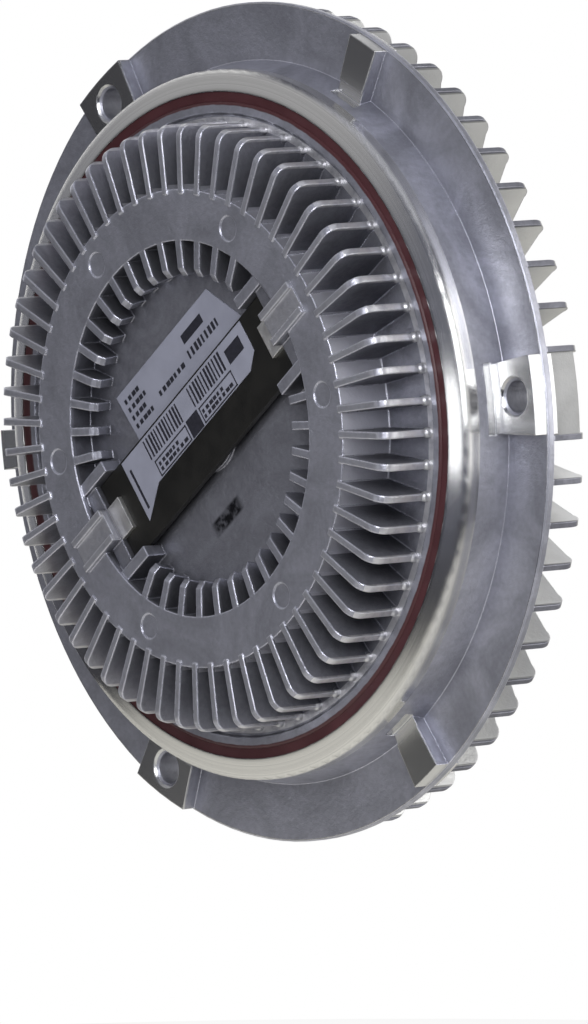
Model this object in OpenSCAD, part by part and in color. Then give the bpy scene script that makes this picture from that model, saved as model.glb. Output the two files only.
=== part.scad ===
// Viscous fan clutch with a bimetal strip control.
// The axis lies along Y and the front faces -Y.
// The origin is the centre of the rear mounting face of the input shaft.

/* [Ring and pilot] */
// Outer diameter of the fan ring
ring_d = 180; // [150:1:220]
// Thickness of the fan ring's wall
ring_t = 1.6; // [1.4:0.1:5]
// Distance from the shaft's mounting face to the ring's front face
ring_z = 48; // [46:1:60]
// Width of the ring between its edge and the fan's pilot
ring_w = 14; // [12:0.5:18]
// Height of the pilot's lip above the ring face
pilot_h = 11.4; // [9:0.1:14]
// Width of the pilot's lip
lip_w = 4.7; // [3.4:0.1:6]
// Slope of the lip down to its outer corner, in degrees
lip_slope = 14; // [0:1:25]
// Radius of the lip's outer corner
lip_round = 1; // [0.6:0.1:2]
// Height of the cast cone between the ring face and the pilot
cone_h = 6.7; // [3:0.1:8]
// Growth of the cast cone in radius
cone_grow = 1.6; // [0.8:0.1:3]
// Turn of the housing on the shaft at rest
housing_turn = 7.7; // [-30:0.1:30]

/* [Fan pads] */
// Distance from the fan holes to the ring's edge
fan_edge = 6.5; // [5.5:0.1:8]
// Tapping diameter of the fan holes
fan_hole_d = 6.8; // [5:0.1:8.5]
// Diameter of the fan holes' countersink
fan_sink_d = 8.6; // [7:0.1:11]
// Height of the pads and lugs above the ring face
pad_h = 3.2; // [1.5:0.1:5]
// Angle covered by each wide pad
pad_angle = 10.8; // [9:0.1:14]
// Angle covered by each plain lug
lug_angle = 5.6; // [4:0.1:8]
// How far the pads reach past the ring's edge, or stay inside it
pad_out = -0.4; // [-1.5:0.1:2]
// Depth of the boss behind each wide pad
boss_depth = 10.4; // [6:0.1:12]
// Depth of the walls of the pads and lugs behind the ring face
pad_depth = 3; // [2.4:0.1:4]
// Width of the corner that is turned between the pilot and the pads
relief_w = 3.4; // [2.5:0.1:5]
// Depth of that corner below the pads
relief_drop = 0.4; // [0.2:0.1:1]

/* [Rear fins] */
// Number of rear fins
rear_fins = 60; // [36:6:72]
// Thickness of a rear fin
rear_fin_t = 1.2; // [1:0.1:2]
// Depth of the rear fins behind the ring face at their tips
rear_fin_tip = 13.1; // [9:0.1:14]
// Depth of the rear fins behind the ring face at their inner ends
rear_fin_root = 26; // [18:0.5:28]
// Radius of the rear fins' rounded tips
rear_fin_round = 4.4; // [1:0.1:5]

/* [Front cover] */
// Width of the seal between the lip and the cover
seal_w = 2.1; // [1.5:0.1:4]
// Width of the cover's raised rim
rim_w = 2.4; // [1.6:0.1:4]
// Height of the cover's flat annulus above the ring face
annulus_h = 22.9; // [20:0.1:26]
// Width of the flat annulus
annulus_w = 10.5; // [8:0.1:13]
// Turn of the cover against the fan pads
cover_turn = 0.9; // [0:0.1:6]
// Number of front fins
front_fins = 60; // [36:6:72]
// Thickness of a front fin
front_fin_t = 1.5; // [1:0.1:2.2]
// Distance from the cover's edge to the front fins
front_fin_edge = 4.3; // [3.6:0.1:6]
// Diameter of the recess in the cover
recess_d = 80.2; // [60:0.1:90]
// Radius of the front fins' rounded corners
front_fin_round = 3; // [1:0.1:5]
// Diameter of the round foot at the end of each front fin
fin_foot_d = 2.3; // [2:0.1:3]
// Depth of the recess in the cover
recess_depth = 5.6; // [4:0.1:8]
// Number of short fins round the recess
inner_fins = 40; // [24:2:48]
// Thickness of a short fin
inner_fin_t = 1.8; // [1:0.1:2.4]
// Length of a short fin
inner_fin_l = 7.6; // [5:0.1:10]
// Radius of the pin boss in the recess
pin_boss_r = 9.6; // [7:0.1:12]

/* [Strip] */
// Gap between the strip's ends and the wall of the recess
strip_gap = 5.1; // [4.5:0.1:8]
// Width of the bimetal strip
strip_w = 19.4; // [14:0.1:24]
// Thickness of the bimetal strip
strip_t = 1.2; // [0.8:0.1:2]
// Height of the strip's front face above the recess floor
strip_lift = 2.9; // [2.6:0.1:5]
// Direction of the strip, seen from the front
strip_dir = 40; // [20:1:70]
// Thickness of the stickers
label_t = 0.15; // [0.1:0.05:0.3]

/* [Control] */
// Diameter of the control pin
pin_d = 5.9; // [4:0.1:8]
// Radial clearance of the control pin in its guide
pin_gap = 0.05; // [0.02:0.01:0.1]
// Thickness of the separator plate
plate_t = 1.5; // [1:0.1:2.5]
// How far the separator plate reaches over its seat
plate_lap = 3.5; // [3:0.1:4.5]
// Distance from the lever's rivet to the pin
lever_arm = 18; // [14:1:22]
// Width of the valve lever
lever_w = 9; // [7:0.5:12]
// Thickness of the valve lever
lever_t = 0.6; // [0.4:0.1:1]
// Gap between the lever and the plate at rest
lever_gap = 2; // [1.8:0.1:3]

/* [Rotor] */
// Radial gap between the rotor and its chamber
rotor_gap = 0.8; // [0.6:0.1:1.5]
// Number of shear rings on the rotor
shear_rings = 6; // [3:1:6]
// Thickness of a shear ring
shear_t = 1.9; // [1.2:0.1:2.2]
// Radial gap between the shear rings
shear_gap = 0.4; // [0.3:0.05:0.6]
// Distance from the last shear ring to the rotor's edge
shear_edge = 2.1; // [1.6:0.1:4]

/* [Bearing and shaft] */
// Bore of the bearing
bearing_bore = 25; // [20:1:30]
// Outer diameter of the bearing
bearing_od = 52; // [47:1:55]
// Width of the bearing
bearing_w = 15; // [12:1:16]
// Number of balls
balls = 9; // [7:1:10]
// Diameter of a ball
ball_d = 7.94; // [6.5:0.01:8.5]
// Diameter of the shaft's mounting flange
flange_d = 76; // [70:1:90]
// Thickness of the shaft's mounting flange
flange_t = 8; // [6:0.5:12]
// Bolt circle of the flange holes
flange_pcd = 56; // [50:1:64]
// Diameter of the flange holes
flange_hole_d = 8.5; // [6.5:0.1:10.5]
// Diameter of the flange's pilot bore
flange_pilot_d = 24; // [18:1:26]
// Height of the chamfer between the flange and the shaft
flange_root = 1.5; // [0.8:0.1:3]

/* [Hidden] */
$fn = 96;
eps = 0.01;

// Radii, worked inwards from the ring's edge
ring_r = ring_d / 2;
pad_r = ring_r + pad_out;
hole_r = ring_r - fan_edge;
pilot_r = ring_r - ring_w;
cone_r = pilot_r + cone_grow;
lip_r = pilot_r - lip_w;
cover_r = lip_r - seal_w;
rim_r = cover_r - rim_w;
chamber_r = cover_r - 2.8;
rotor_r = chamber_r - rotor_gap;
front_fin_r = cover_r - front_fin_edge;
recess_r = recess_d / 2;
annulus_r = recess_r + annulus_w;
front_fin_l = front_fin_r - annulus_r;
inner_fin_r = recess_r - inner_fin_l;
seat_r = cover_r - 12.8;
plate_r = seat_r + plate_lap;
rivet_r = seat_r + plate_lap / 2;
strip_l = 2 * (recess_r - strip_gap);

// Levels along the axis, measured from the ring face towards the front
seat_h = 3;
seal_h = 7;
floor_h = -10;
wall_h = -14.5;
recess_h = annulus_h - recess_depth;
cover_in_h = recess_h - 3.5;
trough_h = 10.6;
rim_h = pilot_h + 0.1;
strip_h = recess_h + strip_lift;
strip_low_h = strip_h - strip_t;
pin_top_h = strip_low_h - 0.02;
lever_top_h = seat_h + lever_gap + lever_t;
guide_low_h = cover_in_h - 3;
rotor_h = 0.5;
rotor_web_h = -3;
shear_low_h = floor_h + 0.6;
bearing_h = -12;
hub_end_h = bearing_h - bearing_w - 3;
hub_r = bearing_od / 2 + 7;
hub_hole_r = bearing_od / 2 - 4;
snap_t = 1.5;
shear_pitch = 2 * (shear_t + shear_gap);
shear_r = rotor_r - shear_edge - shear_rings * shear_pitch;
journal_r = bearing_bore / 2 - 2.5;
neck_r = bearing_bore / 2 + 3;
groove_r = journal_r - 1;
retainer_r = journal_r + 3;
retainer_h = -2.5;
retainer_t = 1.2;
wall_t = 2.6;
post_w = 8;
rivet_n = 6;
rivet_d = 3;
rivet_head_d = 4.8;
rivet_head_t = 0.5;
rivet_grip = 3.5;
rear_fin_r = 46;
valve_x = lever_arm;

// Places a piece that is drawn about the ring's face
module place() {
  rotate([90, 0, 0])
    translate([0, 0, ring_z])
      children();
}

// Places a piece of the housing, turned as it rests
module housed() {
  place()
    rotate(housing_turn)
      children();
}

// Repeats a piece evenly round the axis
module around(n, start = 0) {
  for (i = [0 : n - 1])
    rotate(start + i * 360 / n)
      children();
}

// A ring from its inner radius, outer radius and two levels
module tube(r1, r2, low, high) {
  translate([0, 0, low])
    difference() {
      cylinder(r = r2, h = high - low);
      translate([0, 0, -1])
        cylinder(r = r1, h = high - low + 2);
    }
}

// A sector block centred on an angle
module sector(angle, r1, r2, low, high) {
  rotate(-angle / 2)
    rotate_extrude(angle = angle)
      translate([r1, low])
        square([r2 - r1, high - low]);
}

// Upright radial plates between two radii and two levels, each skip-th one left out
module plates(n, t, r1, r2, low, high, start = 0, skip = 0) {
  for (i = [0 : n - 1])
    if (skip == 0 || i % skip > 0)
      rotate(start + i * 360 / n)
        translate([r1, -t / 2, low])
          cube([r2 - r1, t, high - low]);
}

module fan_hole() {
  translate([hole_r, 0, -boss_depth - 1])
    cylinder(d = fan_hole_d, h = boss_depth + pad_h + 2);
  sink = (fan_sink_d - fan_hole_d) / 2;
  translate([hole_r, 0, pad_h - sink])
    cylinder(d1 = fan_hole_d, d2 = fan_sink_d + 2 * eps, h = sink + eps);
}

module rear_body() {
  corner = pilot_r - lip_round;
  fall = (lip_round + (corner - lip_r) * sin(lip_slope)) / cos(lip_slope);
  corner_h = pilot_h - fall;
  rotate_extrude()
    union() {
      polygon([[hub_hole_r, floor_h], [chamber_r, floor_h], [chamber_r, seat_h],
               [cover_r, seat_h], [cover_r, seal_h], [lip_r, seal_h], [lip_r, pilot_h],
               [corner + lip_round * sin(lip_slope), corner_h + lip_round * cos(lip_slope)],
               [corner, corner_h], [pilot_r, corner_h], [pilot_r, cone_h], [cone_r, 0],
               [ring_r - 0.3, 0], [ring_r, -0.3], [ring_r, -ring_t],
               [cone_r + 1, -ring_t], [chamber_r + 3, floor_h - 2],
               [chamber_r, wall_h], [hub_r, wall_h], [hub_r, hub_end_h + 1],
               [hub_r - 1, hub_end_h], [bearing_od / 2, hub_end_h],
               [bearing_od / 2, bearing_h], [hub_hole_r, bearing_h]]);
      translate([corner, corner_h])
        circle(r = lip_round);
    }
}

// Envelope that trims the rear fins: rounded tips and a sloping rear edge
module rear_fin_envelope() {
  tip_r = ring_r - 1.3;
  c = rear_fin_round;
  rotate_extrude()
    union() {
      polygon([[rear_fin_r, wall_h + 1], [rear_fin_r, -rear_fin_root], [tip_r - c, -rear_fin_tip],
               [tip_r - c, -0.6], [cone_r, -0.6], [chamber_r - 4, wall_h + 1]]);
      translate([tip_r - c - eps, -rear_fin_tip + c])
        square([c + eps, rear_fin_tip - c - 0.6]);
      translate([tip_r - c, -rear_fin_tip + c])
        circle(r = c);
    }
}

// Shear rings that stand on the chamber floor between the rotor's rings
module floor_rings() {
  for (i = [0 : shear_rings - 1]) {
    r = shear_r + shear_t + shear_gap + i * shear_pitch;
    tube(r, r + shear_t, floor_h - 0.5, rotor_web_h - 0.6);
  }
}

// Corner turned between a pad and the pilot, out of the cast cone and the pad
module relief(angle) {
  low = pad_h - relief_drop;
  high = cone_h + 0.4;
  rotate(-angle / 2 - 0.3)
    rotate_extrude(angle = angle + 0.6)
      polygon([[pilot_r + 0.6, low], [pilot_r + relief_w, low], [pilot_r + relief_w, high],
               [pilot_r + 0.2, high]]);
}

module rear_housing() {
  color("silver")
    housed()
      difference() {
        union() {
          rear_body();
          intersection() {
            rear_fin_envelope();
            plates(rear_fins, rear_fin_t, rear_fin_r - 2, ring_r, -rear_fin_root - 1, 0,
                   skip = rear_fins / 3);
          }
          around(3)
            sector(pad_angle, cone_r - 1.5, pad_r, -pad_depth, pad_h);
          around(3)
            sector(pad_angle + 1.4, cone_r - 1.5, ring_r - 1.9, -boss_depth, -0.5);
          around(3, 60)
            sector(lug_angle, cone_r - 1.5, pad_r, -pad_depth, pad_h);
          floor_rings();
        }
        around(3) {
          fan_hole();
          relief(pad_angle);
        }
        around(3, 60)
          relief(lug_angle);
        tube(bearing_od / 2 - 1, bearing_od / 2 + 1.5, bearing_h - bearing_w - snap_t,
             bearing_h - bearing_w);
      }
}

module cover_body() {
  guide_r = pin_d / 2 + pin_gap;
  pocket_r = recess_r + 3.4;
  rotate_extrude()
    polygon([[guide_r, recess_h + 0.9], [pin_boss_r, recess_h + 0.9],
             [pin_boss_r, recess_h], [recess_r, recess_h], [recess_r, annulus_h],
             [annulus_r + 0.4, annulus_h], [annulus_r + 1.1, trough_h],
             [rim_r - 0.5, trough_h], [rim_r, rim_h],
             [cover_r - 0.4, rim_h], [cover_r, rim_h - 0.4], [cover_r, seat_h],
             [seat_r, seat_h], [seat_r, trough_h - 3.6], [annulus_r - 2.4, trough_h - 3.6],
             [annulus_r - 3, annulus_h - 3.8], [pocket_r, annulus_h - 3.8],
             [pocket_r, cover_in_h], [7.5, cover_in_h],
             [7.5, guide_low_h], [5, guide_low_h], [5, guide_low_h + 2],
             [guide_r, guide_low_h + 2]]);
}

// Envelope that trims the front fins: flat front, rounded corner, straight side
module front_fin_envelope() {
  c = front_fin_round;
  low = trough_h - 0.5;
  fin_h = annulus_h + 0.3;
  rotate_extrude()
    union() {
      translate([annulus_r - 0.6, low])
        square([front_fin_l - c + 0.6, fin_h - low]);
      translate([front_fin_r - c - eps, low])
        square([c + eps, fin_h - c - low]);
      translate([front_fin_r - c, fin_h - c])
        circle(r = c);
    }
}

// Short fins round the recess, left out where the strip's brackets stand
module recess_fins() {
  free = asin((strip_w / 2 + 5) / recess_r);
  for (i = [0 : inner_fins - 1]) {
    a = (i + 0.6) * 360 / inner_fins + cover_turn;
    away = abs(((a + housing_turn - strip_dir + 450) % 180) - 90);
    if (away > free)
      rotate(a)
        translate([0, inner_fin_t / 2, 0])
          rotate([90, 0, 0])
            linear_extrude(height = inner_fin_t)
              polygon([[inner_fin_r + 1, recess_h - 0.5], [recess_r + 1, recess_h - 0.5],
                       [recess_r + 1, annulus_h], [inner_fin_r + 1.6, annulus_h - 0.4],
                       [inner_fin_r, annulus_h - 1.6]]);
  }
}

// One bracket that holds an end of the strip: a ledge, two side walls and a split post
module bracket() {
  end = strip_l / 2 + 0.2;
  half = strip_w / 2 + 0.2;
  wide = half + wall_t;
  base_h = recess_h - 0.5;
  translate([end - 5, -wide, base_h])
    cube([8, 2 * wide, strip_low_h - base_h]);
  translate([end, -wide, base_h])
    cube([4, 2 * wide, annulus_h - 1.5 - base_h]);
  for (s = [-1, 1])
    translate([end - 6, s * (half + wall_t / 2) - wall_t / 2, base_h])
      cube([12, wall_t, annulus_h - 0.6 - base_h]);
  translate([end, -post_w / 2, base_h])
    cube([12, post_w, annulus_h + 0.2 - base_h]);
  for (s = [-1, 1])
    translate([end, s * (post_w / 2 - 0.8) - 0.8, base_h])
      cube([12, 1.6, annulus_h + 1 - base_h]);
}

// Shallow round marks on the annulus
module marks() {
  around(6, 13 - housing_turn)
    translate([(recess_r + annulus_r) / 2, 0, annulus_h - 0.3])
      cylinder(r = 2.7, h = 2);
}

module front_cover() {
  color("silver")
    housed()
      difference() {
        union() {
          cover_body();
          intersection() {
            front_fin_envelope();
            plates(front_fins, front_fin_t, annulus_r - 0.6, front_fin_r + 1, trough_h - 1,
                   annulus_h + 1, cover_turn);
          }
          around(front_fins, cover_turn)
            translate([front_fin_r - fin_foot_d / 4, 0, trough_h + fin_foot_d / 4])
              sphere(d = fin_foot_d);
          recess_fins();
          for (a = [0, 180])
            rotate(strip_dir - housing_turn + a)
              bracket();
        }
        marks();
        around(rivet_n, 15)
          translate([rivet_r, 0, seat_h - 1])
            cylinder(d = rivet_d, h = rivet_grip + 1.5);
      }
}

module cover_seal() {
  color("darkred")
    housed()
      tube(cover_r, lip_r, seal_h, pilot_h - 0.3);
}

// Places a piece in the strip's own direction
module on_strip() {
  place()
    rotate(strip_dir)
      children();
}

module bimetal_strip() {
  color("black")
    on_strip()
      translate([-strip_l / 2, -strip_w / 2, strip_low_h])
        cube([strip_l, strip_w, strip_t]);
}

module strip_label() {
  end = strip_l * 0.37;
  top = strip_w * 0.475;
  color("lavender")
    on_strip()
      translate([0, 0, strip_h])
        linear_extrude(height = label_t)
          polygon([[-end, top], [end, top], [end, top * 0.17], [end * 0.85, -top * 0.13],
                   [-end * 0.7, -top * 0.13], [-end, -top * 0.63]]);
}

module cover_label() {
  half = inner_fin_r * 0.65;
  top = inner_fin_r * 0.71;
  low = pin_boss_r * 1.04;
  color("lavender")
    on_strip()
      translate([0, 0, recess_h])
        linear_extrude(height = label_t)
          polygon([[-half, top], [half * 0.87, top], [half * 1.12, low * 0.8 + top * 0.2],
                   [half * 1.18, low], [-half * 0.97, low]]);
}

module strip_clips() {
  color("gainsboro")
    on_strip()
      for (a = [0, 180])
        rotate(a)
          translate([strip_l / 2 - 4.4, -post_w / 2, strip_h])
            cube([4.6, post_w, 1]);
}

module control_pin() {
  color("goldenrod")
    place() {
      tip = 2.2;
      translate([0, 0, lever_top_h + 0.03])
        cylinder(r1 = 1, r2 = pin_d / 2 - 0.4, h = tip + eps);
      translate([0, 0, lever_top_h + 0.03 + tip])
        cylinder(d = pin_d, h = pin_top_h - lever_top_h - 0.03 - tip);
    }
}

module pin_seal() {
  color("dimgray")
    place()
      tube(pin_d / 2 + pin_gap, 5, guide_low_h + 0.2, guide_low_h + 2);
}

module separator_plate() {
  color("lightsteelblue")
    housed()
      difference() {
        union() {
          translate([0, 0, seat_h - plate_t])
            cylinder(r = plate_r, h = plate_t);
          translate([-lever_arm, 0, seat_h - eps])
            cylinder(r = 2.6, h = lever_gap - 0.2 + eps);
        }
        translate([valve_x, 0, seat_h - plate_t - 1])
          cylinder(r = 2, h = plate_t + 2);
        translate([-lever_arm, 0, seat_h - plate_t - 1])
          cylinder(r = 1.2, h = 8);
        around(rivet_n, 15)
          translate([rivet_r, 0, seat_h - plate_t - 1])
            cylinder(d = rivet_d, h = plate_t + 2);
        rotate(-4)
          translate([seat_r - 3.5, 0, seat_h - plate_t - 1])
            cylinder(r = 1.8, h = plate_t + 2);
      }
}

module plate_rivets() {
  color("gainsboro")
    housed()
      around(rivet_n, 15)
        translate([rivet_r, 0, 0]) {
          translate([0, 0, seat_h - plate_t - rivet_head_t])
            cylinder(d = rivet_head_d, h = rivet_head_t);
          translate([0, 0, seat_h - plate_t - rivet_head_t / 2])
            cylinder(d = rivet_d, h = rivet_head_t / 2 + plate_t + rivet_grip);
        }
}

module valve_lever() {
  color("lightgray")
    housed()
      difference() {
        translate([-lever_arm - lever_w / 2, -lever_w / 2, lever_top_h - lever_t])
          cube([2 * lever_arm + lever_w - 1, lever_w, lever_t]);
        translate([-lever_arm, 0, lever_top_h - 2])
          cylinder(r = 1.6, h = 4);
      }
}

module lever_rivet() {
  color("gainsboro")
    housed()
      translate([-lever_arm, 0, 0]) {
        translate([0, 0, seat_h - plate_t])
          cylinder(r = 1.2, h = lever_top_h + 0.3 - seat_h + plate_t);
        translate([0, 0, lever_top_h + 0.25])
          cylinder(d = rivet_head_d, h = 0.8);
      }
}

module scraper() {
  color("dimgray")
    housed()
      sector(6, plate_r + 1.6, chamber_r - 0.3, -1, seat_h);
}

module rotor() {
  color("silver")
    place() {
      rotate_extrude()
        polygon([[journal_r, bearing_h], [bearing_bore / 2 + 3.4, bearing_h],
                 [bearing_bore / 2 + 3.4, floor_h + 1], [24, rotor_web_h],
                 [rotor_r, rotor_web_h], [rotor_r, -1.6], [plate_r + 1, -1.6],
                 [plate_r + 1, rotor_h], [retainer_r + 2, rotor_h], [retainer_r + 2, retainer_h],
                 [journal_r, retainer_h]]);
      for (i = [0 : shear_rings - 1])
        tube(shear_r + i * shear_pitch, shear_r + i * shear_pitch + shear_t,
             shear_low_h, rotor_web_h + 0.5);
    }
}

module rotor_retainer() {
  color("gainsboro")
    place()
      tube(groove_r, retainer_r, retainer_h, retainer_h + retainer_t);
}

// Middle of the bearing and its rolling circle
bearing_mid = bearing_h - bearing_w / 2;
ball_pitch_r = (bearing_bore + bearing_od) / 4;
race_r = ball_d / 2 + 0.05;

module race_groove() {
  translate([0, 0, bearing_mid])
    rotate_extrude()
      translate([ball_pitch_r, 0])
        circle(r = race_r);
}

module bearing_outer() {
  color("lightgray")
    place()
      difference() {
        tube(ball_pitch_r + 3, bearing_od / 2, bearing_h - bearing_w, bearing_h);
        race_groove();
        for (z = [bearing_h - bearing_w - 0.2, bearing_h - 1.2])
          translate([0, 0, z])
            cylinder(r = ball_pitch_r + 3.8, h = 1.4);
      }
}

module bearing_inner() {
  color("lightgray")
    place()
      difference() {
        tube(bearing_bore / 2, ball_pitch_r - 3, bearing_h - bearing_w, bearing_h);
        race_groove();
      }
}

module bearing_balls() {
  color("white")
    place()
      around(balls)
        translate([ball_pitch_r, 0, bearing_mid])
          sphere(d = ball_d);
}

module bearing_cage() {
  color("peru")
    place()
      difference() {
        tube(ball_pitch_r - ball_d * 0.15, ball_pitch_r + ball_d * 0.15,
             bearing_mid - ball_d * 0.58, bearing_mid + ball_d * 0.58);
        around(balls)
          translate([ball_pitch_r - 4, 0, bearing_mid])
            rotate([0, 90, 0])
              cylinder(d = ball_d + 0.1, h = 8);
      }
}

module bearing_shields() {
  color("dimgray")
    place()
      for (z = [bearing_h - bearing_w + 0.2, bearing_h - 1.2])
        tube(ball_pitch_r - 2.6, ball_pitch_r + 3.75, z, z + 1);
}

module bearing_snap_ring() {
  color("gainsboro")
    place()
      difference() {
        tube(bearing_od / 2 - 1.6, bearing_od / 2 + 1.5, bearing_h - bearing_w - snap_t,
             bearing_h - bearing_w);
        translate([0, -4, bearing_h - bearing_w - 3])
          cube([40, 8, 6]);
      }
}

module input_shaft() {
  low = -ring_z;
  color("gray")
    place()
      difference() {
        rotate_extrude()
          polygon([[0, low], [flange_d / 2 - 0.8, low], [flange_d / 2, low + 0.8],
                   [flange_d / 2, low + flange_t - 0.8],
                   [flange_d / 2 - 0.8, low + flange_t], [neck_r + flange_root, low + flange_t],
                   [neck_r, low + flange_t + flange_root], [neck_r, bearing_h - bearing_w],
                   [bearing_bore / 2, bearing_h - bearing_w], [bearing_bore / 2, bearing_h],
                   [journal_r, bearing_h], [journal_r, retainer_h],
                   [groove_r, retainer_h], [groove_r, retainer_h + retainer_t],
                   [journal_r, retainer_h + retainer_t], [journal_r, -0.6],
                   [journal_r - 0.6, 0], [0, 0]]);
        translate([0, 0, low - 1])
          cylinder(d = flange_pilot_d, h = flange_t + flange_root + 1);
        around(4, 45)
          translate([flange_pcd / 2, 0, low - 1])
            cylinder(d = flange_hole_d, h = flange_t + 2);
      }
}

rear_housing();
front_cover();
cover_seal();
bimetal_strip();
strip_label();
cover_label();
strip_clips();
control_pin();
pin_seal();
separator_plate();
plate_rivets();
valve_lever();
lever_rivet();
scraper();
rotor();
rotor_retainer();
bearing_outer();
bearing_inner();
bearing_balls();
bearing_cage();
bearing_shields();
bearing_snap_ring();
input_shaft();
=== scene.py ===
"""Looks of the viscous fan clutch: materials, printed stickers, light and camera."""
import math

import bmesh
import bpy
from mathutils import Matrix, Vector


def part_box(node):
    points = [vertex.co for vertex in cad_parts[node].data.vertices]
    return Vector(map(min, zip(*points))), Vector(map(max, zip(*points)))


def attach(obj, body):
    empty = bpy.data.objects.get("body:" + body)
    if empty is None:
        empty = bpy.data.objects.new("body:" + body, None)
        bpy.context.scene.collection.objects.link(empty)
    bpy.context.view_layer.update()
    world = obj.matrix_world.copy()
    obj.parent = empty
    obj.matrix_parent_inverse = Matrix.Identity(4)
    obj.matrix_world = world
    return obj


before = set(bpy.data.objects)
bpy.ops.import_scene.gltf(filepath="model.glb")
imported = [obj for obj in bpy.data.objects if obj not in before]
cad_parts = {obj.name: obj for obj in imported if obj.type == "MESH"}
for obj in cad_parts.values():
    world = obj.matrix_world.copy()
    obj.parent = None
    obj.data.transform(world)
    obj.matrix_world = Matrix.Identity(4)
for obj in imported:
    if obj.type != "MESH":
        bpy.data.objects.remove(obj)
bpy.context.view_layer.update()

MM = 0.001

# Radii and levels of the clutch in millimetres, levels counted from the fan ring's front face
RING_FACE = 48.0
PILOT_R = 76.0
LIP_R = 71.3
CONE_R = 77.6
CONE_TOP = 6.7
RELIEF_FLOOR = 2.8
PAD_R = 89.6
PAD_FOOT = -3.0
REAR_FIN_R = 88.7
REAR_FIN_FOOT = 70.0
FRONT_FIN_R = 64.9
RECESS_R = 40.1
ANNULUS_R = 50.6
POST_RISE = 1.0

# The bimetal strip's directions, along it and across it
STRIP_ANGLE = math.radians(40)
ALONG = Vector((math.cos(STRIP_ANGLE), 0, math.sin(STRIP_ANGLE)))
ACROSS = Vector((-math.sin(STRIP_ANGLE), 0, math.cos(STRIP_ANGLE)))


def front_level(node):
    """Level of a node's foremost point."""
    return -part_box(node)[0][1] / MM - RING_FACE


ANNULUS_TOP = front_level("front_cover") - POST_RISE
CENTRE = Vector((0, -RING_FACE * MM, 0))

# The photograph's view of the ring face: angles, distance and picture scale
IMAGE_H = 1024
VIEW_AZIMUTH = math.radians(50.1)
VIEW_ELEVATION = math.radians(5.6)
VIEW_DISTANCE = 2.2
PIXELS_PER_RADIAN = 10278.4
VIEW_SHIFT = (-4.95 * MM, 19.14 * MM)
SENSOR = 24.0


# Short names for shader nodes

class Nodes:
    """Adds nodes to a tree. Masks are one where they hold and nothing elsewhere."""

    def __init__(self, tree):
        self.tree = tree

    def add(self, kind, inputs=(), **settings):
        made = self.tree.nodes.new("ShaderNode" + kind)
        for name, setting in settings.items():
            setattr(made, name, setting)
        for name, given in dict(inputs).items():
            self.put(made.inputs[name], given)
        return made

    def put(self, socket, given):
        """Links an output to a socket or sets its value, a colour as three numbers."""
        if isinstance(given, bpy.types.NodeSocket):
            self.tree.links.new(given, socket)
        elif socket.type == "RGBA":
            socket.default_value = (*given, 1)
        else:
            socket.default_value = given

    def calc(self, operation, a, b=0.0, c=0.0, clamp=False):
        made = self.add("Math", operation=operation, use_clamp=clamp)
        for socket, given in zip(made.inputs, (a, b, c)):
            self.put(socket, given)
        return made.outputs[0]

    def times(self, a, b):
        return self.calc("MULTIPLY", a, b)

    def above(self, place, limit):
        """Mask of places past a limit in millimetres."""
        return self.calc("GREATER_THAN", place, limit * MM)

    def below(self, place, limit):
        """Mask of places short of a limit in millimetres."""
        return self.calc("LESS_THAN", place, limit * MM)

    def near(self, place, middle, reach):
        """Mask of places within a reach of a middle, in millimetres."""
        return self.calc("COMPARE", place, middle * MM, reach * MM)

    def fade(self, mask, a, b):
        """One number where a mask is nothing, and another where it is one."""
        return self.calc("MULTIPLY_ADD", mask, self.calc("SUBTRACT", b, a), a)

    def ramp(self, value, low, high, to_low=0.0, to_high=1.0):
        """Value between low and high, carried to another range with soft ends."""
        made = self.add("MapRange", interpolation_type="SMOOTHSTEP", inputs={
            "Value": value, "From Min": low, "From Max": high, "To Min": to_low, "To Max": to_high})
        return made.outputs[0]

    def spread(self, noise, to_low, to_high):
        """The range that most of a noise lies in, carried to another range."""
        return self.ramp(noise, 0.3, 0.7, to_low, to_high)

    def mix(self, factor, a, b):
        """Two colours."""
        made = self.add("Mix", data_type="RGBA")
        self.put(made.inputs[0], factor)
        self.put(made.inputs[6], a)
        self.put(made.inputs[7], b)
        return made.outputs[2]

    def between(self, factor, a, b):
        """Two normals."""
        made = self.add("Mix", data_type="VECTOR")
        self.put(made.inputs[0], factor)
        self.put(made.inputs[4], a)
        self.put(made.inputs[5], b)
        return made.outputs[1]

    def scale(self, factor, colour):
        """A colour made lighter or darker."""
        made = self.add("Mix", data_type="RGBA", blend_type="MULTIPLY")
        self.put(made.inputs[0], 1.0)
        self.put(made.inputs[6], colour)
        self.put(made.inputs[7], factor)
        return made.outputs[2]

    def dot(self, a, b):
        made = self.add("VectorMath", operation="DOT_PRODUCT")
        self.put(made.inputs[0], a)
        self.put(made.inputs[1], b)
        return made.outputs["Value"]

    def split(self, vector):
        return self.add("SeparateXYZ", {"Vector": vector}).outputs

    def toward(self, way, direction, near, far):
        """Mask of a direction, falling to nothing between two angles in degrees."""
        cosine = self.dot(way, Vector(direction).normalized())
        return self.ramp(cosine, math.cos(math.radians(far)), math.cos(math.radians(near)))


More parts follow.
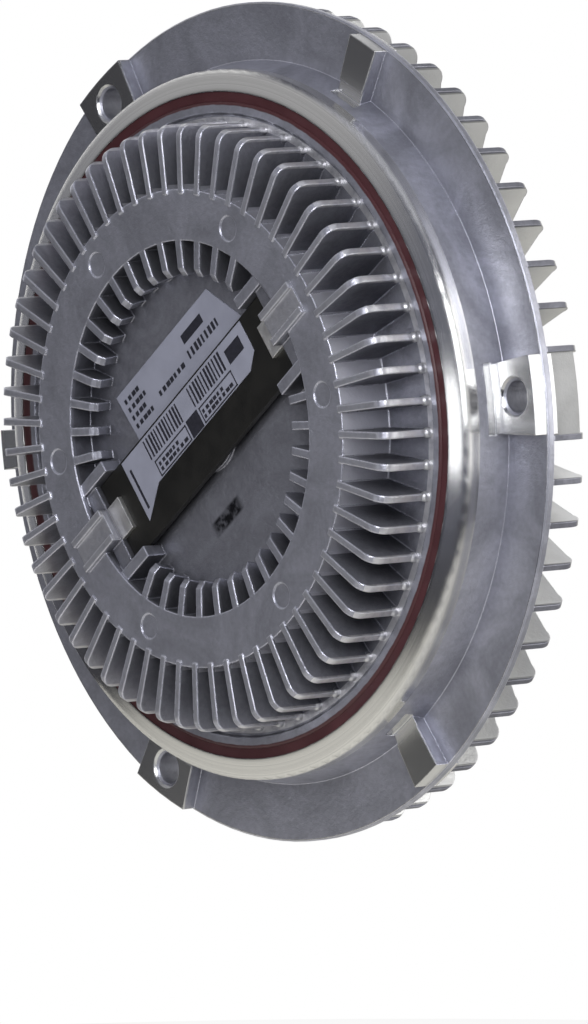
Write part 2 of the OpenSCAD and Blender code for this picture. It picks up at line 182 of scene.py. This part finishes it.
class Shader(Nodes):
    """Builds one material's nodes."""

    def __init__(self, name):
        self.material = bpy.data.materials.new(name)
        self.material.use_nodes = True
        super().__init__(self.material.node_tree)
        self.bsdf = self.tree.nodes["Principled BSDF"]

    def set(self, **inputs):
        for name, given in inputs.items():
            self.put(self.bsdf.inputs[name.replace("_", " ")], given)

    def place(self):
        return self.add("TexCoord").outputs["Object"]

    def noise(self, scale, detail=4.0, rough=0.55, stretch=None, warp=0.0):
        """Noise in the object's own space, its scale in features a metre."""
        where = self.place()
        if stretch:
            where = self.add("Mapping", {"Vector": where, "Scale": stretch}).outputs[0]
        return self.add("TexNoise", {
            "Vector": where, "Scale": scale, "Detail": detail, "Roughness": rough,
            "Distortion": warp}).outputs["Fac"]

    def bump(self, height, depth, normal):
        """A height of so many millimetres, laid over a normal."""
        return self.add("Bump", {
            "Height": height, "Distance": depth * MM, "Strength": 1.0, "Normal": normal}).outputs[0]

    def soft_edges(self, radius):
        """A normal that rounds edges by a radius in millimetres."""
        return self.add("Bevel", {"Radius": radius * MM}, samples=6).outputs[0]

    def edge_mask(self, bevel):
        """One on sharp edges, where the rounded normal leaves the true one."""
        true = self.add("NewGeometry").outputs["Normal"]
        return self.ramp(self.dot(bevel, true), 0.995, 0.86)

    def openness(self, reach):
        """One in the open, and less in gaps and corners within a reach in millimetres."""
        return self.add("AmbientOcclusion", {"Distance": reach * MM}, samples=6).outputs["AO"]

    def cylinder_place(self):
        """Distance from the clutch's axis, and level before the ring face, in metres."""
        parts = self.split(self.place())
        square = self.calc("MULTIPLY_ADD", parts["X"], parts["X"], self.times(parts["Z"], parts["Z"]))
        level = self.calc("SUBTRACT", self.times(parts["Y"], -1.0), RING_FACE * MM)
        return self.calc("SQRT", square), level


# Castings: their oxide scatters some light, so they aren't wholly metallic

CAST_METAL = 0.75
CAST_COLOUR = (0.47, 0.475, 0.54)
CAST_ROUGH = (0.45, 0.36)
# The lightness added on edges stands partly for wear and partly for a painted highlight
EDGE_WEAR_AND_HIGHLIGHT = 0.7
EDGE_POLISH = 0.14
# The darkening of gaps and corners by ambient occlusion is painted shade
GAP_SHADE_REACH = 7.0
GAP_SHADE_OPENNESS = (0.15, 0.85)
# Noises in features a metre, the bumps' depths in millimetres, and the light of the blotches
BLOTCHES = 55
FINE = 900
FINE_DEPTH = 0.09
FINE_LIGHT = (0.94, 1.05)
GRAIN = 2600
GRAIN_DEPTH = 0.05
BLOTCH_RANGE = (0.3, 0.72)
BLOTCH_LIGHT = (0.72, 1.12)


def cast_skin(s, soft, gap):
    """Die-cast metal: mottled satin skin, gaps darkened as painted shade, and edges lightened partly by
    wear and partly as a painted highlight.
    """
    edge = s.edge_mask(soft)
    blotch = s.noise(BLOTCHES, detail=6, rough=0.62, warp=1.2)
    fine = s.noise(FINE, detail=3)
    grain = s.noise(GRAIN, detail=2)
    light = s.ramp(blotch, *BLOTCH_RANGE, *BLOTCH_LIGHT)
    light = s.times(light, s.spread(fine, *FINE_LIGHT))
    # Painted shade: colour darkened in gaps and corners by ambient occlusion
    light = s.times(light, s.ramp(s.openness(GAP_SHADE_REACH), *GAP_SHADE_OPENNESS, gap, 1.0))
    # Edges lightened partly by wear and partly as a painted highlight
    light = s.calc("MULTIPLY_ADD", edge, EDGE_WEAR_AND_HIGHLIGHT, light)
    rough = s.calc("MULTIPLY_ADD", edge, -EDGE_POLISH, s.spread(blotch, *CAST_ROUGH))
    normal = s.bump(grain, GRAIN_DEPTH, s.bump(fine, FINE_DEPTH, soft))
    return s.scale(light, CAST_COLOUR), rough, normal


# The front cover: how much each place is darkened by painted shade, lightened by painted light and worn,
# and the colour that shows there
COVER_EDGE = 0.6
COVER_GAP_SHADE = 0.4
RECESS_TOP = ANNULUS_TOP - 1.0
# The recess is darkened as painted shade
RECESS_PAINTED_SHADE = 0.26
# The wall at the fins' foot is lightened with painted light
FOOT_R = ANNULUS_R + 0.6
FOOT_REACH = 0.8
FOOT_TOP = ANNULUS_TOP - 0.3
FOOT_PAINTED_LIGHT = 0.75
FOOT_LIT_COLOUR = (0.68, 0.68, 0.74)
# The fin tops, posts and fins' outer sides are lightened partly by wear and partly as a painted highlight
WEAR_AND_HIGHLIGHT_LEVEL = ANNULUS_TOP + 0.1
FIN_WEAR_AND_HIGHLIGHT = 0.25
POST_R = ANNULUS_R - 1.0
POST_WEAR_AND_HIGHLIGHT = 0.45
SIDE_FROM = FRONT_FIN_R - 0.7
SIDE_TO = FRONT_FIN_R + 1.0
PATCHES = 420
PATCH_RANGE = (0.25, 0.6)
PATCH_LEAST = 0.35
WEAR_AND_HIGHLIGHT_COLOUR = (0.74, 0.735, 0.76)
WEAR_AND_HIGHLIGHT_ROUGH = 0.32

# The smear of ink on the recess floor: its middle and half size in each direction of the strip
SMEAR = ((ALONG, -7.0, 6.4), (ACROSS, -18.4, 2.1))
SMEAR_CORE = 0.6
SMEAR_SPOTS = 330
SMEAR_RANGE = (0.36, 0.54)
SMEAR_LEAST = 0.4
SMEAR_COLOUR = (0.012, 0.012, 0.016)

# The ring seal's dull red, and where it is smeared over the cover's rim
SEAL_COLOUR = (0.075, 0.02, 0.024)
FILM_R = 68.5
FILM_FADE = 0.3
FILM_RAGGED = 0.5
FILM_SPOTS = 300


def cast_cover(name):
    """The front cover: recess in painted shade with a smear of ink, fins and posts lightened by wear and a
    painted highlight, the wall at the fins' foot lightened by painted light, and a red rim.
    """
    s = Shader(name)
    colour, rough, normal = cast_skin(s, s.soft_edges(COVER_EDGE), COVER_GAP_SHADE)
    radius, level = s.cylinder_place()
    inside = s.times(s.below(radius, RECESS_R), s.below(level, RECESS_TOP))
    # Painted shade: the recess floor is darkened
    colour = s.scale(s.fade(inside, 1.0, 1.0 - RECESS_PAINTED_SHADE), colour)
    colour = s.mix(s.times(inside, smear_mask(s)), colour, SMEAR_COLOUR)
    # Painted light: the wall at the fins' foot is lightened
    foot = s.times(s.near(radius, FOOT_R, FOOT_REACH), s.below(level, FOOT_TOP))
    colour = s.mix(s.times(foot, FOOT_PAINTED_LIGHT), colour, FOOT_LIT_COLOUR)
    # Lightening from wear and a painted highlight on the fin tops, posts and fins' outer sides
    wear_and_highlight = wear_and_highlight_mask(s, radius, level)
    colour = s.mix(wear_and_highlight, colour, WEAR_AND_HIGHLIGHT_COLOUR)
    rough = s.fade(wear_and_highlight, rough, WEAR_AND_HIGHLIGHT_ROUGH)
    film = film_mask(s, radius)
    colour = s.mix(film, colour, SEAL_COLOUR)
    s.set(Base_Color=colour, Metallic=s.fade(film, CAST_METAL, 0.0), Roughness=rough, Normal=normal)
    return s.material


def wear_and_highlight_mask(s, radius, level):
    """Patchy wear on the fin tops, more of it on the posts, and all over the fins' outer sides; the
    lightening there is partly a painted highlight.
    """
    tops = s.above(level, WEAR_AND_HIGHLIGHT_LEVEL)
    tops = s.times(tops, s.fade(s.below(radius, POST_R), FIN_WEAR_AND_HIGHLIGHT, POST_WEAR_AND_HIGHLIGHT))
    sides = s.times(s.above(radius, SIDE_FROM), s.below(radius, SIDE_TO))
    patches = s.ramp(s.noise(PATCHES), *PATCH_RANGE, PATCH_LEAST, 1.0)
    return s.times(s.calc("MAXIMUM", tops, sides), patches)


def smear_mask(s):
    """A dark smear of ink that lies along the strip."""
    mask = s.ramp(s.noise(SMEAR_SPOTS, detail=3), *SMEAR_RANGE, SMEAR_LEAST, 1.0)
    for direction, middle, half in SMEAR:
        off = s.calc("SUBTRACT", s.dot(s.place(), direction), middle * MM)
        mask = s.times(mask, s.ramp(s.calc("ABSOLUTE", off), half * MM, half * SMEAR_CORE * MM))
    return mask


def film_mask(s, radius):
    """Red from the seal on the cover's rim, with a ragged inner edge."""
    ragged = s.calc("MULTIPLY_ADD", s.noise(FILM_SPOTS), FILM_RAGGED * MM, radius)
    return s.ramp(ragged, FILM_R * MM, (FILM_R + FILM_FADE) * MM)


# The rear housing: sides of its fins made pale by a painted reflection, and dull outer ends of its fins
HOUSING_EDGE = 0.35
HOUSING_GAP_SHADE = 0.7
# The rear fins' pale sides are a painted reflection of the floor
PAINTED_REFLECTION_SHARE = 0.8
PALE_TO_R = REAR_FIN_R - 0.5
PALE_TOP = PAD_FOOT - 0.3
PAINTED_REFLECTION_COLOUR = (0.86, 0.86, 0.84)
DULL_FROM_R = REAR_FIN_R - 0.9
DULL_SHADE = 0.42
DULL_ROUGH = 0.2

# The lathe's work: the pilot and lip are near mirrors, the pads are coarser
PILOT_COLOUR = (0.76, 0.755, 0.74)
PILOT_ROUGH = 0.17
PAD_COLOUR = (0.70, 0.70, 0.70)
PAD_ROUGH = 0.23
GROOVES = 5200.0
GROOVE_DEPTH = 0.006
GROOVE_LIGHT = (0.92, 1.04)
GROOVE_STRETCH = 0.9
QUARTER_TURN = 0.25
# The lip's inner edge, darkened as painted shade, and its worn corner, which turns over to the pilot
LIP_SHADE = 0.6
LIP_SHADE_W = 0.9
LIP_CORNER = 2.4
CORNER_FROM = PILOT_R - LIP_CORNER - 0.6
CORNER_FULL = PILOT_R - LIP_CORNER + 0.4

# How far a mask's limit keeps clear of a face, along the axis and across it
LEVEL_SLACK = 0.05
RADIUS_SLACK = 0.08


def cast_housing(name):
    """The rear housing: cast skin with turned seats, rear fins made pale by a painted reflection, and their
    dull outer ends.
    """
    s = Shader(name)
    soft = s.soft_edges(HOUSING_EDGE)
    colour, rough, normal = cast_skin(s, soft, HOUSING_GAP_SHADE)
    radius, level = s.cylinder_place()
    # Painted reflection: the rear fins' sides are made pale
    colour = s.mix(s.times(painted_reflection_mask(s, radius, level), PAINTED_REFLECTION_SHARE), colour, PAINTED_REFLECTION_COLOUR)
    dull = dull_mask(s, radius, level)
    colour = s.scale(s.fade(dull, 1.0, 1.0 - DULL_SHADE), colour)
    rough = s.calc("MULTIPLY_ADD", dull, DULL_ROUGH, rough)
    pilot = s.above(level, CONE_TOP - LEVEL_SLACK)
    turned = turned_mask(s, radius, level, pilot)
    groove = s.add("TexNoise", {"W": s.calc("ADD", radius, level), "Scale": GROOVES, "Detail": 2.0},
                   noise_dimensions="1D").outputs["Fac"]
    shine = s.scale(s.spread(groove, *GROOVE_LIGHT), s.mix(pilot, PAD_COLOUR, PILOT_COLOUR))
    # Painted shade: the lip is darkened towards its inner edge
    shine = s.scale(s.ramp(radius, LIP_R * MM, (LIP_R + LIP_SHADE_W) * MM, LIP_SHADE, 1.0), shine)
    rough = s.fade(turned, rough, s.fade(pilot, PAD_ROUGH, PILOT_ROUGH))
    corner = s.times(pilot, corner_mask(s, radius))
    worked = s.between(corner, soft, s.soft_edges(LIP_CORNER))
    normal = s.between(turned, normal, s.bump(groove, GROOVE_DEPTH, worked))
    s.set(Base_Color=s.mix(turned, colour, shine), Metallic=s.fade(turned, CAST_METAL, 1.0),
          Roughness=rough, Normal=normal)
    s.set(Anisotropic=s.times(turned, GROOVE_STRETCH), Anisotropic_Rotation=QUARTER_TURN)
    s.set(Tangent=s.add("Tangent", direction_type="RADIAL", axis="Y").outputs[0])
    return s.material


def turned_mask(s, radius, level, pilot):
    """Faces that a lathe has cut: pilot, lip, and the pads with their corners and outer walls."""
    slope = (CONE_R - PILOT_R) / CONE_TOP
    cone = s.calc("MULTIPLY_ADD", level, -slope, CONE_R * MM)
    off_cone = s.above(s.calc("ABSOLUTE", s.calc("SUBTRACT", radius, cone)), RADIUS_SLACK)
    pad = s.times(off_cone, s.above(level, RELIEF_FLOOR - LEVEL_SLACK))
    wall = s.times(s.near(radius, PAD_R, RADIUS_SLACK), s.above(level, PAD_FOOT - LEVEL_SLACK))
    return s.calc("MAXIMUM", pilot, s.calc("MAXIMUM", pad, wall))


def corner_mask(s, radius):
    """The outer part of the lip, where its corner starts to turn over."""
    return s.ramp(radius, CORNER_FROM * MM, CORNER_FULL * MM)


def painted_reflection_mask(s, radius, level):
    """The sides of the rear fins, made pale as a painted reflection of the floor."""
    fins = s.times(s.above(radius, REAR_FIN_FOOT), s.below(radius, PALE_TO_R))
    return s.times(fins, s.below(level, PALE_TOP))


def dull_mask(s, radius, level):
    """The outer ends of the rear fins and of the bosses between them."""
    return s.times(s.above(radius, DULL_FROM_R), s.below(level, PAD_FOOT - LEVEL_SLACK))


# Smaller pieces: noises in features a metre, edges and depths in millimetres

METAL_EDGE = 0.25
METAL_CLOUDS = 140
METAL_LIGHT = (0.86, 1.06)
SCRATCHES = 700
SCRATCH_STRETCH = (1, 12, 1)
SCRATCH_DEPTH = 0.006
MOULDED_EDGE = 0.2
MOULDED_CLOUDS = 160
MOULDED_GRAIN = 3000
INK_SPOTS = 1500
INK_LIGHT = (0.75, 1.25)
INK_ROUGH = 0.5


def metal(name, colour, rough, wear=0.12):
    """Plain machined or pressed metal with faint marks, and edges lightened partly by wear and partly as a
    painted highlight.
    """
    s = Shader(name)
    soft = s.soft_edges(METAL_EDGE)
    cloud = s.noise(METAL_CLOUDS, detail=5)
    scratch = s.noise(SCRATCHES, detail=3, stretch=SCRATCH_STRETCH)
    # Edges lightened partly by wear and partly as a painted highlight
    light = s.calc("MULTIPLY_ADD", s.edge_mask(soft), wear, s.spread(cloud, *METAL_LIGHT))
    s.set(Base_Color=s.scale(light, colour), Metallic=1.0,
          Roughness=s.spread(scratch, rough - 0.06, rough + 0.08),
          Normal=s.bump(scratch, SCRATCH_DEPTH, soft))
    return s.material


def moulded(name, colour, rough, grain=0.03, uneven=0.12):
    """Rubber, plastic or paper: dull colour with a fine grain."""
    s = Shader(name)
    cloud = s.noise(MOULDED_CLOUDS, detail=5)
    fine = s.noise(MOULDED_GRAIN, detail=2)
    light = s.spread(cloud, 1 - uneven, 1 + uneven)
    s.set(Base_Color=s.scale(light, colour), Metallic=0.0,
          Roughness=s.spread(cloud, rough - 0.05, rough + 0.07),
          Normal=s.bump(fine, grain, s.soft_edges(MOULDED_EDGE)))
    return s.material


def ink(name, colour):
    """Print on the stickers, a little uneven."""
    s = Shader(name)
    light = s.spread(s.noise(INK_SPOTS, detail=3), *INK_LIGHT)
    s.set(Base_Color=s.scale(light, colour), Roughness=INK_ROUGH)
    return s.material


# Each finish with its colour and roughness
CAST = cast_cover("cast_cover")
HOUSING = cast_housing("cast_housing")
TURNED = metal("turned_aluminium", (0.72, 0.72, 0.72), 0.28)
STEEL = metal("turned_steel", (0.47, 0.47, 0.48), 0.33)
BRIGHT = metal("bright_steel", (0.80, 0.79, 0.77), 0.22)
CLIP = metal("clip_steel", (0.85, 0.84, 0.82), 0.44)
BEARING = metal("bearing_steel", (0.66, 0.66, 0.66), 0.15)
BRASS = metal("pin_brass", (0.62, 0.47, 0.20), 0.28)
SEAL = moulded("seal_rubber", SEAL_COLOUR, 0.42)
RUBBER = moulded("dark_rubber", (0.02, 0.02, 0.02), 0.6)
STRIP = moulded("strip_black", (0.006, 0.0055, 0.004), 0.46, grain=0.02, uneven=0.3)
PAPER = moulded("sticker_paper", (0.34, 0.35, 0.43), 0.5, grain=0.01, uneven=0.06)
CAGE = moulded("cage_plastic", (0.30, 0.21, 0.10), 0.5)
SCRAPER = moulded("scraper_plastic", (0.03, 0.03, 0.03), 0.5)
PRINT = ink("sticker_print", (0.018, 0.018, 0.028))

FINISH = {
    "rear_housing": HOUSING, "front_cover": CAST, "cover_seal": SEAL, "bimetal_strip": STRIP,
    "strip_label": PAPER, "cover_label": PAPER, "strip_clips": CLIP, "control_pin": BRASS,
    "pin_seal": RUBBER, "separator_plate": STEEL, "plate_rivets": BRIGHT, "valve_lever": BRIGHT,
    "lever_rivet": BRIGHT, "scraper": SCRAPER, "rotor": TURNED, "rotor_retainer": STEEL,
    "bearing_outer": BEARING, "bearing_inner": BEARING, "bearing_balls": BEARING,
    "bearing_cage": CAGE, "bearing_shields": RUBBER, "bearing_snap_ring": STEEL, "input_shaft": STEEL,
}
for node, finish in FINISH.items():
    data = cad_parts[node].data
    data.materials.clear()
    data.materials.append(finish)


# Print on the stickers: plain bars and fields, in millimetres along and across the strip

INK_RISE = 0.02
CODE_FOOT = 3.8
CODE_TOP = 8.6
FIELD_FOOT = -1.0
FIELD_TOP = 3.0
FIELD_LINES = (-0.2, 1.3, 2)


def bars(low, high, foot, top, count, fill=0.5):
    """A row of upright bars of uneven width."""
    pitch = (high - low) / count
    rows = []
    for i in range(count):
        width = pitch * fill * (0.75 + 0.5 * math.sin(2.4 * i) ** 2)
        rows.append((low + i * pitch, low + i * pitch + width, foot, top))
    return rows


def lines(low, high, foot, pitch, count, height=0.9):
    """Rows of short dashes that stand for lines of small print."""
    rows = []
    for i in range(count):
        level = foot + i * pitch
        end = high - (high - low) * 0.25 * math.sin(1.7 * i) ** 2
        rows += bars(low, end, level, level + height, max(3, round((end - low) / 1.6)), 0.7)
    return rows


def frame_of(low, high, foot, top, edge=0.35):
    """The four sides of a thin frame."""
    return [(low, high, foot, foot + edge), (low, high, top - edge, top),
            (low, low + edge, foot, top), (high - edge, high, foot, top)]


def strip_rows():
    """Two codes of bars with a block beside them, two framed fields with a block between, an end line."""
    codes = bars(-17.0, -2.2, CODE_FOOT, CODE_TOP, 13) + bars(2.2, 16.4, CODE_FOOT, CODE_TOP, 12)
    blocks = [(17.6, 23.6, CODE_FOOT, 7.2), (-2.4, 2.3, -1.1, 3.3)]
    small = lines(3.6, 16.0, *FIELD_LINES) + lines(-15.4, -3.6, *FIELD_LINES)
    fields = frame_of(2.9, 16.9, FIELD_FOOT, FIELD_TOP) + frame_of(-16.4, -2.9, FIELD_FOOT, FIELD_TOP)
    end_line = [(-24.6, -23.9, -3.6, 6.4)]
    return codes + blocks + small + fields + end_line


def cover_rows():
    """A block over a row of bars, and lines of small print beside them."""
    block = [(5.0, 13.3, 18.2, 20.4)]
    row = bars(4.6, 17.8, 14.6, 16.6, 9, 0.55)
    small = lines(-19.4, -11.4, 13.6, 2.1, 4, 1.1) + lines(-8.6, 2.6, 14.4, 2.1, 1, 1.2)
    return block + row + small


def printed(name, rows, node):
    """Rectangles of ink, a hair thick, that lie on a node's front face."""
    level = front_level(node)
    shape = bmesh.new()
    for low, high, foot, top in rows:
        corners = [(low, foot), (high, foot), (high, top), (low, top)]
        rings = []
        for height in (level, level + INK_RISE):
            face = Vector((0, -(RING_FACE + height), 0))
            rings.append([shape.verts.new((face + ALONG * d + ACROSS * n) * MM) for d, n in corners])
        back, front = rings
        shape.faces.new(front)
        shape.faces.new(back[::-1])
        for i in range(4):
            shape.faces.new((back[i], back[i - 3], front[i - 3], front[i]))
    bmesh.ops.recalc_face_normals(shape, faces=shape.faces)
    obj = new_object(name, shape, PRINT)
    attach(obj, "housing")


def new_object(name, shape, finish):
    """An object with a shape's mesh, which frees the shape."""
    mesh = bpy.data.meshes.new(name)
    shape.to_mesh(mesh)
    shape.free()
    mesh.materials.append(finish)
    obj = bpy.data.objects.new(name, mesh)
    bpy.context.collection.objects.link(obj)
    return obj


printed("strip_print", strip_rows(), "strip_label")
printed("cover_print", cover_rows(), "cover_label")


# Stage, light and camera

WHITE = (1, 1, 1)

# The floor in millimetres, and how bright metal sees it on the left and on the right
FLOOR_LEVEL = -200.0
FLOOR_R = 450.0
FLOOR_COLOUR = (0.84, 0.83, 0.79)
FLOOR_ROUGH = 0.9
FLOOR_SEEN = 0.92
FLOOR_TINT = (1, 0.98, 0.90)
SHINE_FROM, SHINE_TO = 20.0, 140.0
SHINE_LEFT, SHINE_RIGHT = 0.5, 0.05

# The room's colours by direction, with a white wall behind the clutch
ROOM_COLOUR = (0.13, 0.135, 0.17)
GLOW_COLOUR = (0.45, 0.45, 0.46)
CEILING_COLOUR = (0.5, 0.51, 0.56)
BACK_COLOUR = (0.05, 0.05, 0.055)
LOW_COLOUR = (0.06, 0.06, 0.07)
FLAG_COLOUR = (0.035, 0.035, 0.04)
FILL_COLOUR = (0.14, 0.14, 0.15)
# The glow lights the top of the lip, and the dark flag stands where the ring's face looks
GLOW_WAY = (-0.72, -0.52, 0.46)
GLOW_ANGLES = (12, 38)
FLAG_WAY = (-0.763, -0.638, -0.24)
FLAG_ANGLES = (15, 26)
# Where the wall, ceiling and ground begin or end, as the rise or depth of a unit vector
WALL_START = (-0.2, 0.1)
WALL_FOOT = (-0.24, -0.17)
WALL_TOP = (0.66, 0.60)
BACK_START = (0.2, 0.4)
BACK_FOOT = (0.60, 0.66)
BACK_TOP = (0.92, 0.82)
CEILING_START = (0.80, 0.92)
LOW_START = (-0.16, -0.3)

# Lamps: direction from the clutch, distance and size in metres, radiance and colour
WARM = (1.0, 0.99, 0.97)
COOL = (0.97, 0.98, 1.0)
LAMPS = {
    "right_softbox": ((0.727, 0.638, 0.247), 1.3, (0.9, 1.15), 1.3, WARM),
    "front_lamp": ((-0.36, -0.93, -0.06), 1.3, (0.3, 0.17), 2.8, COOL),
    "key_lamp": ((0.59, -0.64, 0.35), 0.7, (0.3, 0.52), 6.6, COOL),
}


def soft_lamp(name, direction, distance, size, radiance, colour):
    """A rectangular lamp that faces the clutch, with its radiance given."""
    data = bpy.data.lights.new(name, "AREA")
    data.shape = "RECTANGLE"
    data.size, data.size_y = size
    data.energy = radiance * math.pi * size[0] * size[1]
    data.color = colour
    lamp = bpy.data.objects.new(name, data)
    bpy.context.collection.objects.link(lamp)
    aim = Vector(direction).normalized()
    lamp.location = CENTRE + aim * distance
    lamp.rotation_euler = aim.to_track_quat("Z", "Y").to_euler()
    lamp.visible_camera = False


def floor_finish():
    """Pale and dull, white to the camera, with some of the clutch's shadow."""
    s = Shader("floor")
    s.set(Base_Color=FLOOR_COLOUR, Roughness=FLOOR_ROUGH)
    rays = s.add("LightPath").outputs
    seen = s.times(s.calc("ADD", rays["Is Camera Ray"], rays["Is Transmission Ray"]), FLOOR_SEEN)
    across = s.split(s.place())["X"]
    shine = s.ramp(across, SHINE_FROM * MM, SHINE_TO * MM, SHINE_LEFT, SHINE_RIGHT)
    seen = s.calc("MULTIPLY_ADD", rays["Is Glossy Ray"], shine, seen)
    white = s.add("Emission", {"Color": s.mix(rays["Is Glossy Ray"], WHITE, FLOOR_TINT)})
    mix = s.add("MixShader", {"Fac": seen})
    s.put(mix.inputs[1], s.bsdf.outputs[0])
    s.put(mix.inputs[2], white.outputs[0])
    s.put(s.tree.nodes["Material Output"].inputs["Surface"], mix.outputs[0])
    return s.material


def floor():
    """A round floor under the clutch."""
    shape = bmesh.new()
    bmesh.ops.create_circle(shape, cap_ends=True, segments=96, radius=FLOOR_R * MM)
    obj = new_object("floor", shape, floor_finish())
    obj.location = (0, 0, FLOOR_LEVEL * MM)


def studio():
    """A white wall behind the clutch, and a dim room that is dark where the front faces look."""
    world = bpy.data.worlds.new("studio")
    bpy.context.scene.world = world
    world.use_nodes = True
    s = Nodes(world.node_tree)
    way = s.add("TexCoord").outputs["Generated"]
    parts = s.split(way)
    depth, rise = parts["Y"], parts["Z"]
    wall = s.times(s.ramp(depth, *WALL_START), s.times(s.ramp(rise, *WALL_FOOT), s.ramp(rise, *WALL_TOP)))
    back = s.times(s.ramp(depth, *BACK_START), s.times(s.ramp(rise, *BACK_FOOT), s.ramp(rise, *BACK_TOP)))
    room = s.mix(s.toward(way, GLOW_WAY, *GLOW_ANGLES), ROOM_COLOUR, GLOW_COLOUR)
    room = s.mix(s.ramp(rise, *CEILING_START), room, CEILING_COLOUR)
    room = s.mix(back, room, BACK_COLOUR)
    room = s.mix(s.ramp(rise, *LOW_START), room, LOW_COLOUR)
    room = s.mix(s.toward(way, FLAG_WAY, *FLAG_ANGLES), room, FLAG_COLOUR)
    room = s.mix(wall, room, WHITE)
    rays = s.add("LightPath").outputs
    room = s.mix(rays["Is Diffuse Ray"], room, FILL_COLOUR)
    seen = s.calc("ADD", rays["Is Camera Ray"], rays["Is Transmission Ray"], clamp=True)
    background = s.tree.nodes["Background"]
    s.put(background.inputs["Color"], s.mix(seen, room, WHITE))
    s.put(background.inputs["Strength"], 1.0)


def camera():
    """A camera at the photograph's angle, moved so that the clutch sits in the picture as it does there."""
    az, el = VIEW_AZIMUTH, VIEW_ELEVATION
    back = Vector((math.sin(az) * math.cos(el), -math.cos(az) * math.cos(el), math.sin(el)))
    right = Vector((math.cos(az), math.sin(az), 0))
    up = back.cross(right)
    data = bpy.data.cameras.new("camera")
    data.sensor_width = SENSOR
    data.lens = PIXELS_PER_RADIAN * SENSOR / IMAGE_H
    obj = bpy.data.objects.new("camera", data)
    bpy.context.collection.objects.link(obj)
    obj.rotation_euler = Matrix((right, up, back)).transposed().to_euler()
    obj.location = CENTRE + back * VIEW_DISTANCE - right * VIEW_SHIFT[0] - up * VIEW_SHIFT[1]
    bpy.context.scene.camera = obj


bpy.context.scene.view_settings.view_transform = "Standard"
studio()
floor()
for name, settings in LAMPS.items():
    soft_lamp(name, *settings)
camera()
